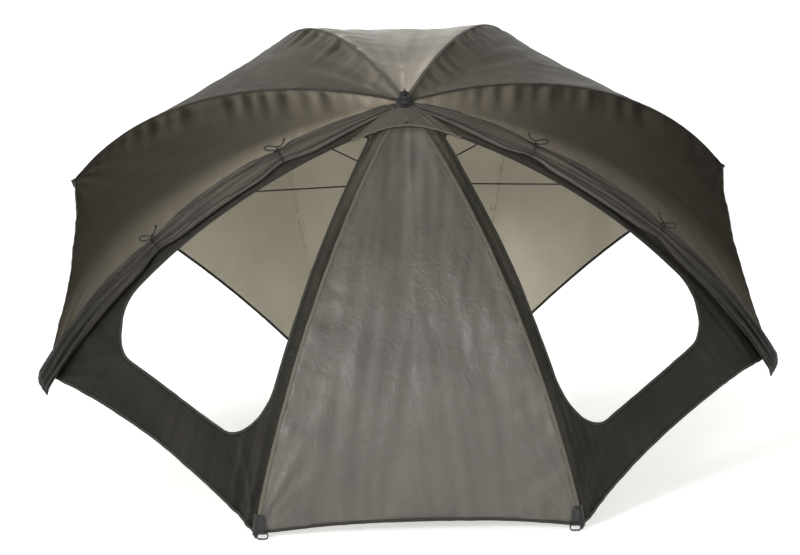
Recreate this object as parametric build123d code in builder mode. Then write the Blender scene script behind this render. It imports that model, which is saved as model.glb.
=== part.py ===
from build123d import *
from math import asin, cos, degrees, pi, radians, sin, sqrt, tan
import os

os.makedirs("parts", exist_ok=True)

# An eight-rib umbrella blind, leaning forward until its two front rib tips stand on the ground.
# Millimetres, +Z up. The front faces -Y, and left is -X, as seen by somebody looking at the front.
# The origin is on the ground, at the middle of the whole object's box.

# ---- driving dimensions ----
RIM_RADIUS = 1250.0  # shaft axis to a rib tip, measured in the rim plane
CROWN_RISE = 0.5538 * RIM_RADIUS  # crown above the rim plane
LEAN = 33.38  # forward lean of the shaft, degrees
CROWN_Y = -378.4  # crown from the middle of the box, front to rear

CLOTH = 1.0  # thickness of every panel
SEAM_GAP = 0.8  # between neighbouring panels
HEM_INSET = 8.0  # rib tips stand this far past the hems
WALL_SAG = 55.0  # how far the rear corners' slanting hems curve in
PEG_HALF_SPACING = 250.0  # rear pegs, each side of the middle

RIB_DEPTH = 7.0  # rib centre line below the canopy's outer face
RIB_ROD = 3.5  # radii
TIP = 5.0
STRETCHER_ROD = 2.5
EYE_THICKNESS = 4.4
STRETCHER_OUT = 0.5 * RIM_RADIUS  # where the stretchers meet the ribs
STRETCHER_DROP = 10.0  # stretcher hinge below the rib's centre line
HINGE_OUT = 22.0  # rib hinges, from the shaft axis
WIRE = 1.25  # radius of the ring that the ribs hinge on
PIN = 1.5  # radius of the stretchers' rivets
RUN_FIT = 0.05  # radial clearance of pins and screws

SHAFT = 11.0  # radii
SHAFT_BORE = 9.6
LOWER_POLE = 9.5
LOWER_POLE_BORE = 8.2
SHAFT_END = 1246.0  # depths below the crown, along the shaft
CLAMP_TOP = 1222.0
LOWER_POLE_TOP = 900.0
LOWER_POLE_END = 1259.0
RUNNER_DEPTH = 322.0  # stretcher hinges, canopy open
RUNNER_HINGE_OUT = 24.0
SPIKE_HINGE_HEIGHT = 150.0  # above the ground
SPIKE = 6.0

COVER_HALF_WIDTH = 30.0  # rolled window covers
COVER_HALF_THICKNESS = 14.0
COVER_CENTRE = 20.5  # roll's centre above the cloth
COVER_START = 110.0  # from the shaft
COVER_OVERHANG = 36.0  # past the rib tip
TIE_PLACES = {"upper": 0.345, "lower": 0.675}  # along the rib, in rim radii

WINDOW_FOOT = 0.826 * RIM_RADIUS  # window's lower edge, from the shaft
WINDOW_FRONT_STRIP = 44.0  # cloth left beside the front rib
WINDOW_REAR_STRIP = 75.0  # cloth left beside the next rib, under the roll
WINDOW_CORNERS = [20.0, 100.0, 105.0]

RIBS = {
    "front_left": -22.5,
    "front_right": 22.5,
    "mid_front_left": -67.5,
    "mid_front_right": 67.5,
    "mid_rear_left": -112.5,
    "mid_rear_right": 112.5,
    "rear_left": -157.5,
    "rear_right": 157.5,
}
# each panel's azimuth, and how far its hem curves in
GORES = {
    "gore_front": (0.0, 15.0),
    "gore_window_left": (-45.0, 25.0),
    "gore_window_right": (45.0, 25.0),
    "gore_side_left": (-90.0, 40.0),
    "gore_side_right": (90.0, 40.0),
    "gore_rear_left": (-135.0, 0.0),
    "gore_rear_right": (135.0, 0.0),
    "gore_rear": (180.0, 0.0),
}

# ---- the canopy's own frame ----
# FORWARD points from the shaft to the front in the rim plane, AXIS points up the shaft.
lean = radians(LEAN)
FORWARD = Vector(0, -cos(lean), -sin(lean))
SIDE = Vector(1, 0, 0)
AXIS = Vector(0, -sin(lean), cos(lean))
HALF_GORE = 22.5
COS_HALF = cos(radians(HALF_GORE))
TAN_HALF = tan(radians(HALF_GORE))

# The ribs are arcs that leave the crown square to the shaft. Angles run down from the crown.
DOME = (RIM_RADIUS**2 + CROWN_RISE**2) / (2 * CROWN_RISE)
RIB_ARC = DOME - RIB_DEPTH
END_ANGLE = degrees(asin(RIM_RADIUS / DOME))
TIP_END_ANGLE = END_ANGLE - degrees(TIP / RIB_ARC)
RIM_OUT = RIM_RADIUS * COS_HALF  # shaft to the middle of a panel's hem


def direction(azimuth):
    """Unit vector in the rim plane, azimuth degrees from the front towards +X."""
    angle = radians(azimuth)
    return FORWARD * cos(angle) + SIDE * sin(angle)


def on_arc(angle, radius):
    """Distance from the shaft and height from the crown, on an arc about the dome's centre."""
    return radius * sin(radians(angle)), radius * cos(radians(angle)) - DOME


# The front tips' round ends stand on the ground, which gives the crown its height.
tip_out, tip_up = on_arc(TIP_END_ANGLE, RIB_ARC)
front_tip = direction(HALF_GORE) * tip_out + AXIS * tip_up
CROWN = Vector(0, CROWN_Y, TIP - front_tip.Z)


def place(azimuth, out, up):
    """A point from its azimuth, distance from the shaft and height from the crown."""
    return CROWN + direction(azimuth) * out + AXIS * up


def radial_plane(azimuth, sideways=0.0):
    """Plane along the shaft: x runs outward, y up. sideways moves it towards larger azimuths."""
    out = direction(azimuth)
    normal = out.cross(AXIS)
    return Plane(origin=CROWN - normal * sideways, x_dir=out, z_dir=normal)


def cross_plane(depth, azimuth=0.0):
    """Plane square to the shaft at a depth below the crown: x runs outward."""
    return Plane(origin=CROWN - AXIS * depth, x_dir=direction(azimuth), z_dir=AXIS)


def ground_plane(x, y, z):
    """Level plane at a height above the ground."""
    return Plane(origin=(x, y, z), x_dir=(1, 0, 0), z_dir=(0, 0, 1))


def arc_path(plane, radius, start, end, shift=0.0):
    """Arc about the dome's centre, from one angle to another, in a radial plane."""
    with BuildLine(plane) as path:
        CenterArc((-shift, -DOME), radius, 90 - start, start - end)
    return path.line


def save(part, name):
    """Label a finished part and write its file."""
    part.label = name
    export_step(part, f"parts/{name}.step")
    print(f"{name}: {part.volume / 1000:.1f} cm3, {len(part.solids())} solids")


def turned(plane, sections):
    """Solid of revolution about a plane's y axis, from (radius, height) corners."""
    with BuildPart() as body:
        with BuildSketch(plane):
            with BuildLine():
                Polyline(*sections, close=True)
            make_face()
        revolve(axis=Axis(plane.origin, plane.y_dir))
    return body.part


# ---- crown ----
NOTCH_OUT = 28.0
NOTCH_TOP = 3.0
NOTCH_FOOT = 15.0
SLOT_WIDTH = EYE_THICKNESS + 0.8
SLOT_DEPTH = 13.0
BOSS = 15.0
BOSS_LENGTH = 16.0
PAST = 40.0  # cuts run this far, clear of what they cut
HINGE_DEPTH = DOME - sqrt(RIB_ARC**2 - HINGE_OUT**2)
CAP_TOP = 31.0
POLE_TOP = 22.0
CAP = 18.0
CAP_WAIST = 16.8
WASHER = 30.0
STUD_HEAD = 5.5
STUD = 3.0
STUD_TOP = CAP_TOP + 21.0
FIT = 0.05  # radial clearance of fixed parts

with BuildPart() as crown_notch:
    with BuildSketch(cross_plane(NOTCH_TOP)):
        Circle(NOTCH_OUT)
        with PolarLocations(NOTCH_OUT, 8, start_angle=HALF_GORE):
            Rectangle(2 * SLOT_DEPTH, SLOT_WIDTH, mode=Mode.SUBTRACT)
    extrude(amount=-(NOTCH_FOOT - NOTCH_TOP))
    with BuildSketch(cross_plane(NOTCH_FOOT)):
        Circle(BOSS)
    extrude(amount=-BOSS_LENGTH)
    with Locations(cross_plane(HINGE_DEPTH)):
        Torus(HINGE_OUT, WIRE + 0.1, mode=Mode.SUBTRACT)
    with BuildSketch(cross_plane(0)):
        Circle(SHAFT + FIT)
    extrude(amount=-PAST, mode=Mode.SUBTRACT)
save(crown_notch.part, "crown_notch")

with BuildPart() as crown_wire:
    with Locations(cross_plane(HINGE_DEPTH)):
        Torus(HINGE_OUT, WIRE)
save(crown_wire.part, "crown_wire")

washer_section = [(SHAFT + FIT, 0.3), (WASHER, 0.3), (WASHER, 1.6), (WASHER - 6, 3.4), (SHAFT + FIT, 3.4)]
save(turned(radial_plane(0), washer_section), "crown_washer")

cap_section = [
    (SHAFT + FIT, 3.4),
    (CAP, 3.4),
    (CAP, 9),
    (CAP_WAIST, 10),
    (CAP_WAIST, 26),
    (CAP, 27),
    (CAP, 29.5),
    (CAP - 1.5, CAP_TOP),
    (3.5, CAP_TOP),
    (3.5, POLE_TOP + FIT),
    (SHAFT + FIT, POLE_TOP + FIT),
]
save(turned(radial_plane(0), cap_section), "crown_cap")

stud_section = [
    (0, POLE_TOP + 1),
    (3.4, POLE_TOP + 1),
    (3.4, CAP_TOP),
    (STUD_HEAD, CAP_TOP),
    (STUD_HEAD, CAP_TOP + 3),
    (STUD, CAP_TOP + 3),
    (STUD, STUD_TOP - 4),
    (1.2, STUD_TOP),
    (0, STUD_TOP),
]
save(turned(radial_plane(0), stud_section), "crown_stud")

# ---- upper pole, height clamp and lower pole ----
CLAMP_SCREW_DEPTH = 1236.0
SCREW = 3.0
COLLAR = 16.0
COLLAR_LIP = 6.0  # below the upper pole's end
COLLAR_CHAMFER = 1.2
SCREW_BOSS = 7.5
SCREW_BOSS_OUT = 23.0
SCREW_HEAD_GAP = 0.4
CLAMP_HEAD_LENGTH = 11.0
CLAMP_HEAD = 14.0
CLAMP_LOBES = 5
LOBE_SHARE = 0.3
KNOB_CHAMFER = 1.0
screw_plane = Plane(origin=CROWN - AXIS * CLAMP_SCREW_DEPTH, x_dir=AXIS, z_dir=SIDE)

with BuildPart() as upper_pole:
    with BuildSketch(cross_plane(-POLE_TOP)):
        Circle(SHAFT)
        Circle(SHAFT_BORE, mode=Mode.SUBTRACT)
    extrude(amount=-(POLE_TOP + SHAFT_END))
    with BuildSketch(screw_plane):
        Circle(SCREW + SCREW_HEAD_GAP)
    extrude(amount=PAST, mode=Mode.SUBTRACT)
save(upper_pole.part, "upper_pole")

with BuildPart() as clamp_collar:
    with BuildSketch(cross_plane(CLAMP_TOP)):
        Circle(COLLAR)
    extrude(amount=-(SHAFT_END + COLLAR_LIP - CLAMP_TOP))
    chamfer(clamp_collar.edges().filter_by(GeomType.CIRCLE), COLLAR_CHAMFER)
    with BuildSketch(screw_plane):
        Circle(SCREW_BOSS)
    extrude(amount=SCREW_BOSS_OUT)
    with BuildSketch(cross_plane(CLAMP_TOP)):
        Circle(SHAFT + FIT)
    extrude(amount=-(SHAFT_END + FIT - CLAMP_TOP), mode=Mode.SUBTRACT)
    with BuildSketch(cross_plane(SHAFT_END)):
        Circle(SHAFT_BORE)
    extrude(amount=-PAST, mode=Mode.SUBTRACT)
    with BuildSketch(screw_plane):
        Circle(SCREW + RUN_FIT)
    extrude(amount=PAST, mode=Mode.SUBTRACT)
save(clamp_collar.part, "clamp_collar")


def lobed_knob(plane, screw_start, head_start, head_length, head_radius, lobes):
    """A screw with a moulded, lobed head, along a plane's z axis."""
    lobe = LOBE_SHARE * head_radius
    with BuildPart() as knob:
        with BuildSketch(plane.offset(screw_start)):
            Circle(SCREW)
        extrude(amount=head_start - screw_start)
        with BuildSketch(plane.offset(head_start)):
            Circle(head_radius - lobe)
            with PolarLocations(head_radius - lobe, lobes):
                Circle(lobe)
        extrude(amount=head_length)
        chamfer(knob.faces().sort_by(Axis(plane.origin, plane.z_dir))[-1].edges(), KNOB_CHAMFER)
    return knob.part


clamp_head_start = SCREW_BOSS_OUT + SCREW_HEAD_GAP
clamp_knob = lobed_knob(
    screw_plane, LOWER_POLE + 0.3, clamp_head_start, CLAMP_HEAD_LENGTH, CLAMP_HEAD, CLAMP_LOBES
)
save(clamp_knob, "clamp_knob")

with BuildPart() as lower_pole:
    with BuildSketch(cross_plane(LOWER_POLE_TOP)):
        Circle(LOWER_POLE)
        Circle(LOWER_POLE_BORE, mode=Mode.SUBTRACT)
    extrude(amount=LOWER_POLE_TOP - LOWER_POLE_END)
save(lower_pole.part, "lower_pole")

# ---- tilting ground spike ----
SPIKE_HINGE_DEPTH = (CROWN.Z - SPIKE_HINGE_HEIGHT) / cos(lean)
SPIKE_HINGE = CROWN - AXIS * SPIKE_HINGE_DEPTH
EAR = 8.0
TONGUE_HALF = 4.0
TONGUE_RISE = SPIKE_HINGE_DEPTH - LOWER_POLE_END - 1
PLUG_LENGTH = 24.0
FLANGE = 3.0
FORK_HALF = 9.0
FORK_FOOT = 26.0  # both from the hinge
NECK_TOP = 20.0
NECK = 11.0
NECK_LENGTH = 32.0
NECK_CHAMFER = 1.5
SPIKE_NOSE = 1.5
SPIKE_TAPER = 32.0
SPIKE_TOP = SPIKE_HINGE_HEIGHT - 25.0
FOOT_PLATE = 20.0
FOOT_PLATE_LOW = 88.0
FOOT_PLATE_HIGH = 92.0
TILT_HEAD_START = 10.2
TILT_HEAD = 11.0
TILT_HEAD_LENGTH = 10.0
TILT_LOBES = 3
NUT = 5.5
NUT_LENGTH = 4.0
hinge_plane = Plane(origin=SPIKE_HINGE, x_dir=(0, 1, 0), z_dir=(1, 0, 0))
lean_plane = Plane(origin=SPIKE_HINGE, x_dir=FORWARD, z_dir=FORWARD.cross(AXIS))

with BuildPart() as pole_tongue:
    with BuildSketch(cross_plane(LOWER_POLE_END - PLUG_LENGTH)):
        Circle(LOWER_POLE_BORE - FIT)
    extrude(amount=-PLUG_LENGTH)
    with BuildSketch(cross_plane(LOWER_POLE_END)):
        Circle(LOWER_POLE)
    extrude(amount=-FLANGE)
    with BuildSketch(lean_plane):
        Circle(EAR)
        with Locations((0, TONGUE_RISE / 2)):
            Rectangle(2 * EAR, TONGUE_RISE)
        Circle(SCREW + RUN_FIT, mode=Mode.SUBTRACT)
    extrude(amount=TONGUE_HALF, both=True)
save(pole_tongue.part, "pole_tongue")

with BuildPart() as spike_fork:
    with BuildSketch(hinge_plane):
        Circle(EAR)
        with Locations((0, -FORK_FOOT / 2)):
            Rectangle(2 * EAR, FORK_FOOT)
        Circle(SCREW + RUN_FIT, mode=Mode.SUBTRACT)
    extrude(amount=FORK_HALF, both=True)
    with BuildSketch(hinge_plane):
        with Locations((0, EAR)):
            Rectangle(3 * EAR, 2 * FORK_FOOT - EAR)
    extrude(amount=TONGUE_HALF + 0.25, both=True, mode=Mode.SUBTRACT)
    with BuildSketch(ground_plane(0, SPIKE_HINGE.Y, SPIKE_HINGE_HEIGHT - NECK_TOP)):
        Circle(NECK)
    extrude(amount=-NECK_LENGTH)
    chamfer(spike_fork.faces().sort_by(Axis.Z)[0].edges(), NECK_CHAMFER)
    with BuildSketch(ground_plane(0, SPIKE_HINGE.Y, 0)):
        Circle(SPIKE + FIT)
    extrude(amount=SPIKE_TOP, mode=Mode.SUBTRACT)
save(spike_fork.part, "spike_fork")

spike_plane = Plane(origin=(0, SPIKE_HINGE.Y, 0), x_dir=(1, 0, 0), z_dir=(0, -1, 0))
spike_section = [
    (0, 0),
    (SPIKE_NOSE, 0),
    (SPIKE, SPIKE_TAPER),
    (SPIKE, FOOT_PLATE_LOW),
    (FOOT_PLATE, FOOT_PLATE_LOW),
    (FOOT_PLATE, FOOT_PLATE_HIGH),
    (SPIKE, FOOT_PLATE_HIGH),
    (SPIKE, SPIKE_TOP),
    (0, SPIKE_TOP),
]
save(turned(spike_plane, spike_section), "ground_spike")

with BuildPart() as tilt_knob:
    tilt_start = -FORK_HALF - 0.2
    add(lobed_knob(hinge_plane, tilt_start, TILT_HEAD_START, TILT_HEAD_LENGTH, TILT_HEAD, TILT_LOBES))
    with BuildSketch(hinge_plane.offset(tilt_start)):
        RegularPolygon(NUT, 6)
    extrude(amount=-NUT_LENGTH)
save(tilt_knob.part, "tilt_knob")

# ---- runner ----
RUNNER_GRIP = 17.0
BUTTON_DEPTH = RUNNER_DEPTH + 30
BUTTON = 4.5
BUTTON_START = 14.2
BUTTON_LENGTH = 7.0
BUTTON_ROUND = 1.0
RUNNER_PLATE = 31.0
RUNNER_PLATE_TOP = 8.0  # both from the stretchers' hinges
RUNNER_PLATE_FOOT = 6.0
RUNNER_SLOT_FOOT = 17.0  # slot's inner end, from the shaft
RUNNER_GRIP_LENGTH = 38.0
RUNNER_CHAMFER = 1.5
runner_slot = 2 * (RUNNER_PLATE - RUNNER_SLOT_FOOT)
button_plane = Plane(origin=CROWN - AXIS * BUTTON_DEPTH, x_dir=AXIS, z_dir=SIDE)

with BuildPart() as runner:
    with BuildSketch(cross_plane(RUNNER_DEPTH - RUNNER_PLATE_TOP)):
        Circle(RUNNER_PLATE)
        with PolarLocations(RUNNER_PLATE, 8, start_angle=HALF_GORE):
            Rectangle(runner_slot, SLOT_WIDTH, mode=Mode.SUBTRACT)
    extrude(amount=-RUNNER_PLATE_TOP - RUNNER_PLATE_FOOT)
    with BuildSketch(cross_plane(RUNNER_DEPTH + RUNNER_PLATE_FOOT)):
        Circle(RUNNER_GRIP)
    extrude(amount=-RUNNER_GRIP_LENGTH)
    chamfer(runner.faces().sort_by(Axis((0, 0, 0), AXIS))[0].edges(), RUNNER_CHAMFER)
    with BuildSketch(cross_plane(RUNNER_DEPTH - PAST)):
        Circle(SHAFT + FIT)
    extrude(amount=-3 * PAST, mode=Mode.SUBTRACT)
    with BuildSketch(button_plane):
        Circle(BUTTON + 2 * FIT)
    extrude(amount=PAST, mode=Mode.SUBTRACT)
save(runner.part, "runner")

with BuildPart() as runner_button:
    with BuildSketch(button_plane.offset(BUTTON_START)):
        Circle(BUTTON)
    extrude(amount=BUTTON_LENGTH)
    fillet(runner_button.faces().sort_by(Axis.X)[-1].edges(), BUTTON_ROUND)
save(runner_button.part, "runner_button")

# ---- ribs, their fittings and the stretchers ----
ROD_FROM_HINGE = 20.0
ROD_FROM_TIP = 10.0
ROD_START = degrees(asin((HINGE_OUT + ROD_FROM_HINGE) / RIB_ARC))
ROD_END = END_ANGLE - degrees(ROD_FROM_TIP / RIB_ARC)
CLIP_ANGLE = degrees(asin(STRETCHER_OUT / DOME))
TIP_LENGTH = 26.0
TIP_BORE = RIB_ROD + 0.3  # straight, around a gently curved rod
TIP_BORE_END = 3.0
CLIP_TOP = STRETCHER_DROP + 4.3  # both from the stretcher's rivet
CLIP_FOOT = 6.2
CLIP_LENGTH = 15.0
CLIP_HALF = 5.5
CLIP_CORNER = 4.0
RIB_EYE = 5.0
RIB_TAB_LENGTH = 28.0
RIB_TAB_HEIGHT = 6.4
OUTER_EYE = 4.2  # stretcher's eye at the rib
INNER_EYE = 3.8  # and at the runner
STRETCHER_TAB = 18.0
STRETCHER_TAB_HEIGHT = 4.6
clip_out, clip_up = on_arc(CLIP_ANGLE, RIB_ARC - STRETCHER_DROP)


def arc_frame(azimuth, angle, radius, sideways=0.0, shift=0.0):
    """Plane at a point of an arc: x sideways, y away from the dome's centre, z along the arc."""
    plane = radial_plane(azimuth, sideways)
    out, up = on_arc(angle, radius)
    outward = plane.x_dir * sin(radians(angle)) + plane.y_dir * cos(radians(angle))
    along = plane.x_dir * cos(radians(angle)) - plane.y_dir * sin(radians(angle))
    point = plane.origin + plane.x_dir * (out - shift) + plane.y_dir * up
    return Plane(origin=point, x_dir=outward.cross(along), z_dir=along)


def make_rib(azimuth):
    """A round rod with a flattened eye at the crown."""
    plane = radial_plane(azimuth)
    path = arc_path(plane, RIB_ARC, ROD_START, ROD_END)
    with BuildPart() as rib:
        with BuildSketch(arc_frame(azimuth, ROD_START, RIB_ARC)):
            Circle(RIB_ROD)
        sweep(path=path)
        with BuildSketch(plane):
            with Locations((HINGE_OUT, -HINGE_DEPTH)):
                Circle(RIB_EYE)
            with Locations((HINGE_OUT + RIB_TAB_LENGTH / 2, -HINGE_DEPTH - 0.3)):
                Rectangle(RIB_TAB_LENGTH, RIB_TAB_HEIGHT)
            with Locations((HINGE_OUT, -HINGE_DEPTH)):
                Circle(WIRE + 0.2, mode=Mode.SUBTRACT)
        extrude(amount=EYE_THICKNESS / 2, both=True)
    return rib.part


def make_fittings(azimuth):
    """The rib's round end cap, and the clip and rivet that hold its stretcher."""
    tip_frame = arc_frame(azimuth, TIP_END_ANGLE, RIB_ARC)
    clip_frame = arc_frame(azimuth, CLIP_ANGLE, RIB_ARC)
    rivet_centre = place(azimuth, clip_out, clip_up)
    rivet_plane = Plane(origin=rivet_centre, x_dir=clip_frame.z_dir, z_dir=-clip_frame.x_dir)
    with BuildPart() as cap:
        with BuildSketch(Plane(origin=tip_frame.origin, x_dir=tip_frame.x_dir, z_dir=tip_frame.y_dir)):
            with BuildLine():
                Polyline((0, 0), (0, TIP_LENGTH), (TIP, TIP_LENGTH), (TIP, 0))
                ThreePointArc((TIP, 0), (TIP * cos(pi / 4), -TIP * sin(pi / 4)), (0, -TIP))
                Line((0, -TIP), (0, 0))
            make_face()
        revolve(axis=Axis(tip_frame.origin, tip_frame.z_dir))
        with BuildSketch(tip_frame.offset(-TIP_BORE_END)):
            Circle(TIP_BORE)
        extrude(amount=-TIP_LENGTH, mode=Mode.SUBTRACT)
    with BuildPart() as clip:
        with BuildSketch(rivet_plane):
            with Locations((0, (CLIP_TOP - CLIP_FOOT) / 2)):
                RectangleRounded(CLIP_LENGTH, CLIP_TOP + CLIP_FOOT, CLIP_CORNER)
        extrude(amount=CLIP_HALF, both=True)
        with BuildSketch(rivet_plane):
            with Locations((0, -CLIP_FOOT / 2)):
                Rectangle(2 * CLIP_LENGTH, 2 * CLIP_FOOT + CLIP_FOOT / 2)
        extrude(amount=EYE_THICKNESS / 2 + 0.3, both=True, mode=Mode.SUBTRACT)
        with BuildSketch(clip_frame):
            Circle(RIB_ROD + 0.1)
        extrude(amount=CLIP_LENGTH, both=True, mode=Mode.SUBTRACT)
        with BuildSketch(rivet_plane):
            Circle(PIN + 0.02)
        extrude(amount=CLIP_LENGTH, both=True, mode=Mode.SUBTRACT)
    with BuildPart() as rivet:
        with BuildSketch(rivet_plane):
            Circle(PIN)
        extrude(amount=CLIP_HALF + 1, both=True)
    return Compound([cap.part, clip.part, rivet.part])


def make_stretcher(azimuth):
    """A rod with a flattened eye at each end."""
    rib_end = Vector(clip_out, clip_up)
    run = Vector(RUNNER_HINGE_OUT, -RUNNER_DEPTH) - rib_end
    plane = radial_plane(azimuth)
    heading = (plane.x_dir * run.X + plane.y_dir * run.Y).normalized()
    start = place(azimuth, clip_out, clip_up)
    frame = Plane(origin=start, x_dir=heading, z_dir=plane.z_dir)
    outer_tab = STRETCHER_TAB / 2 + 2
    with BuildPart() as stretcher:
        with BuildSketch(frame):
            Circle(OUTER_EYE)
            with Locations((run.length, 0)):
                Circle(INNER_EYE)
            with Locations((outer_tab, 0), (run.length - STRETCHER_TAB / 2, 0)):
                Rectangle(STRETCHER_TAB, STRETCHER_TAB_HEIGHT)
            Circle(PIN + RUN_FIT, mode=Mode.SUBTRACT)
            with Locations((run.length, 0)):
                Circle(PIN, mode=Mode.SUBTRACT)
        extrude(amount=EYE_THICKNESS / 2, both=True)
        rod_start = start + heading * (STRETCHER_TAB - 1)
        with BuildSketch(Plane(origin=rod_start, x_dir=plane.z_dir, z_dir=heading)):
            Circle(STRETCHER_ROD)
        extrude(amount=run.length - 2 * STRETCHER_TAB + 4)
    return stretcher.part


for name, azimuth in RIBS.items():
    save(make_rib(azimuth), f"rib_{name}")
    save(make_fittings(azimuth), f"rib_fittings_{name}")
    save(make_stretcher(azimuth), f"stretcher_{name}")


# ---- canopy panels ----
INNER_EDGE = 15.0


def window_outline(mirrored):
    """Corners of a window: the top, then the lower corner by the front rib, then the other."""
    side = -1 if mirrored else 1
    half = radians(HALF_GORE)
    top = (WINDOW_FRONT_STRIP + WINDOW_REAR_STRIP) / (2 * sin(half))
    top_side = (WINDOW_REAR_STRIP - WINDOW_FRONT_STRIP) / (2 * cos(half))
    front = WINDOW_FOOT * TAN_HALF - WINDOW_FRONT_STRIP / cos(half)
    rear = WINDOW_REAR_STRIP / cos(half) - WINDOW_FOOT * TAN_HALF
    return [(top, side * top_side), (WINDOW_FOOT, side * front), (WINDOW_FOOT, side * rear)]


def make_gore(azimuth, hem_sag, window=None):
    """One panel: part of a cylinder between two ribs, with a curved hem."""
    hem = RIM_OUT - HEM_INSET
    edge = SEAM_GAP / 2 / COS_HALF
    inner_side = INNER_EDGE * TAN_HALF - edge
    hem_side = hem * TAN_HALF - edge
    with BuildPart() as gore:
        with BuildSketch(radial_plane(azimuth)):
            with Locations((0, -DOME)):
                Ellipse(DOME * COS_HALF, DOME)
                Ellipse(DOME * COS_HALF - CLOTH, DOME - CLOTH, mode=Mode.SUBTRACT)
            with Locations((DOME / 2, -DOME / 2)):
                Rectangle(DOME, DOME + PAST, mode=Mode.INTERSECT)
        extrude(amount=RIM_RADIUS / 2, both=True)
        with BuildSketch(cross_plane(-PAST, azimuth)):
            with BuildLine():
                inner_corners = [(INNER_EDGE, -inner_side), (INNER_EDGE, inner_side)]
                Polyline((hem, -hem_side), *inner_corners, (hem, hem_side))
                if hem_sag:
                    ThreePointArc((hem, hem_side), (hem - hem_sag, 0), (hem, -hem_side))
                else:
                    Line((hem, hem_side), (hem, -hem_side))
            make_face()
            if window:
                with BuildLine():
                    FilletPolyline(*window, radius=WINDOW_CORNERS, close=True)
                make_face(mode=Mode.SUBTRACT)
        extrude(amount=-(CROWN_RISE + 2 * PAST), mode=Mode.INTERSECT)
    return gore.part


for name, (azimuth, hem_sag) in GORES.items():
    window = None
    if name.startswith("gore_window"):
        window = window_outline(mirrored=azimuth > 0)
    save(make_gore(azimuth, hem_sag, window), name)

# ---- rear wall ----
WALL_DROP = 6.0  # wall's top edge below the rim
HEM_HEIGHT = 3.0  # wall's foot above the ground
WALL_GAP = 0.5  # each side of a corner seam


def wall_panel(corners, thickness, sag=0.0):
    """A flat cloth panel; its last edge may curve in towards the middle."""
    normal = (corners[1] - corners[0]).cross(corners[2] - corners[1])
    plane = Plane(origin=corners[0], x_dir=corners[1] - corners[0], z_dir=normal)
    flat = [plane.to_local_coords(corner) for corner in corners]
    edge = (flat[0] - flat[-1]).normalized()
    middle = (flat[0] + flat[-1]) / 2
    to_centre = sum(flat, Vector()) / len(flat) - middle
    inward = (to_centre - edge * to_centre.dot(edge)).normalized()
    with BuildPart() as wall:
        with BuildSketch(plane):
            with BuildLine():
                Polyline(*[(point.X, point.Y) for point in flat])
                if sag:
                    ThreePointArc(flat[-1], middle + inward * sag, flat[0])
                else:
                    Line(flat[-1], flat[0])
            make_face()
        extrude(amount=thickness)
    return wall.part


rear_rim = place(180, RIM_OUT, -CROWN_RISE)
half_rim = RIM_OUT * TAN_HALF
wall_top = rear_rim.Z - WALL_DROP
top_x = half_rim - WALL_GAP
foot_x = PEG_HALF_SPACING - WALL_GAP
rear_corners = [
    Vector(-top_x, rear_rim.Y, wall_top),
    Vector(-foot_x, rear_rim.Y, HEM_HEIGHT),
    Vector(foot_x, rear_rim.Y, HEM_HEIGHT),
    Vector(top_x, rear_rim.Y, wall_top),
]
save(wall_panel(rear_corners, -CLOTH), "wall_rear")

for side_name, side in (("left", -1), ("right", 1)):
    rim_side = place(side * 5 * HALF_GORE, RIM_RADIUS, -CROWN_RISE) + Vector(0, 0, -WALL_DROP)
    rim_rear = Vector(side * (half_rim + WALL_GAP), rear_rim.Y, wall_top)
    foot = Vector(side * (PEG_HALF_SPACING + WALL_GAP), rear_rim.Y, HEM_HEIGHT)
    save(wall_panel([rim_side, rim_rear, foot], -side * CLOTH, WALL_SAG), f"wall_corner_{side_name}")

# ---- peg links: an oval link on a short web tab at each pegged corner ----
LINK_LENGTH = 36.0
LINK_HEIGHT = 22.0
LINK_BAR = 4.0
TAB_WIDTH = 20.0
TAB_THICKNESS = 1.2
TAB_GAP = 0.3  # between the web and the link


def peg_link(x, y, tab_foot, tab_head):
    """Upright oval link that stands on the ground, with the web tab that holds it."""
    centre = Plane(origin=(x, y, LINK_HEIGHT / 2), x_dir=(1, 0, 0), z_dir=(0, -1, 0))
    with BuildPart() as link:
        with BuildSketch(centre):
            SlotOverall(LINK_LENGTH, LINK_HEIGHT)
            SlotOverall(LINK_LENGTH - 2 * LINK_BAR, LINK_HEIGHT - 2 * LINK_BAR, mode=Mode.SUBTRACT)
        extrude(amount=LINK_BAR / 2, both=True)
    top_bar = LINK_HEIGHT - LINK_BAR
    wrap = TAB_THICKNESS + TAB_GAP
    with BuildPart() as tab:
        with BuildSketch(Plane(origin=(x, y, 0), x_dir=(0, 1, 0), z_dir=(1, 0, 0))):
            with Locations((0, top_bar + LINK_BAR / 2)):
                Rectangle(LINK_BAR + 2 * wrap, LINK_BAR + 2 * wrap)
                Rectangle(LINK_BAR + 2 * TAB_GAP, LINK_BAR + 2 * TAB_GAP, mode=Mode.SUBTRACT)
            with Locations((tab_foot, (LINK_HEIGHT + wrap + tab_head) / 2)):
                Rectangle(TAB_THICKNESS, tab_head - LINK_HEIGHT + wrap)
        extrude(amount=TAB_WIDTH / 2, both=True)
    return [link.part, tab.part]


FRONT_LINK_X = 455.0
TAB_HEAD = 62.0
FRONT_LINK_SET = 10.0  # front links, ahead of the rim
REAR_LINK_IN = 22.0  # rear links, in from the pegs' corners
REAR_LINK_GAP = 0.6
TAB_FACE = LINK_BAR / 2 + TAB_GAP + TAB_THICKNESS / 2
front_link_y = place(0, RIM_OUT, -CROWN_RISE).Y - FRONT_LINK_SET
rear_link_y = rear_rim.Y + CLOTH + REAR_LINK_GAP + TAB_FACE + TAB_THICKNESS / 2

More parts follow.
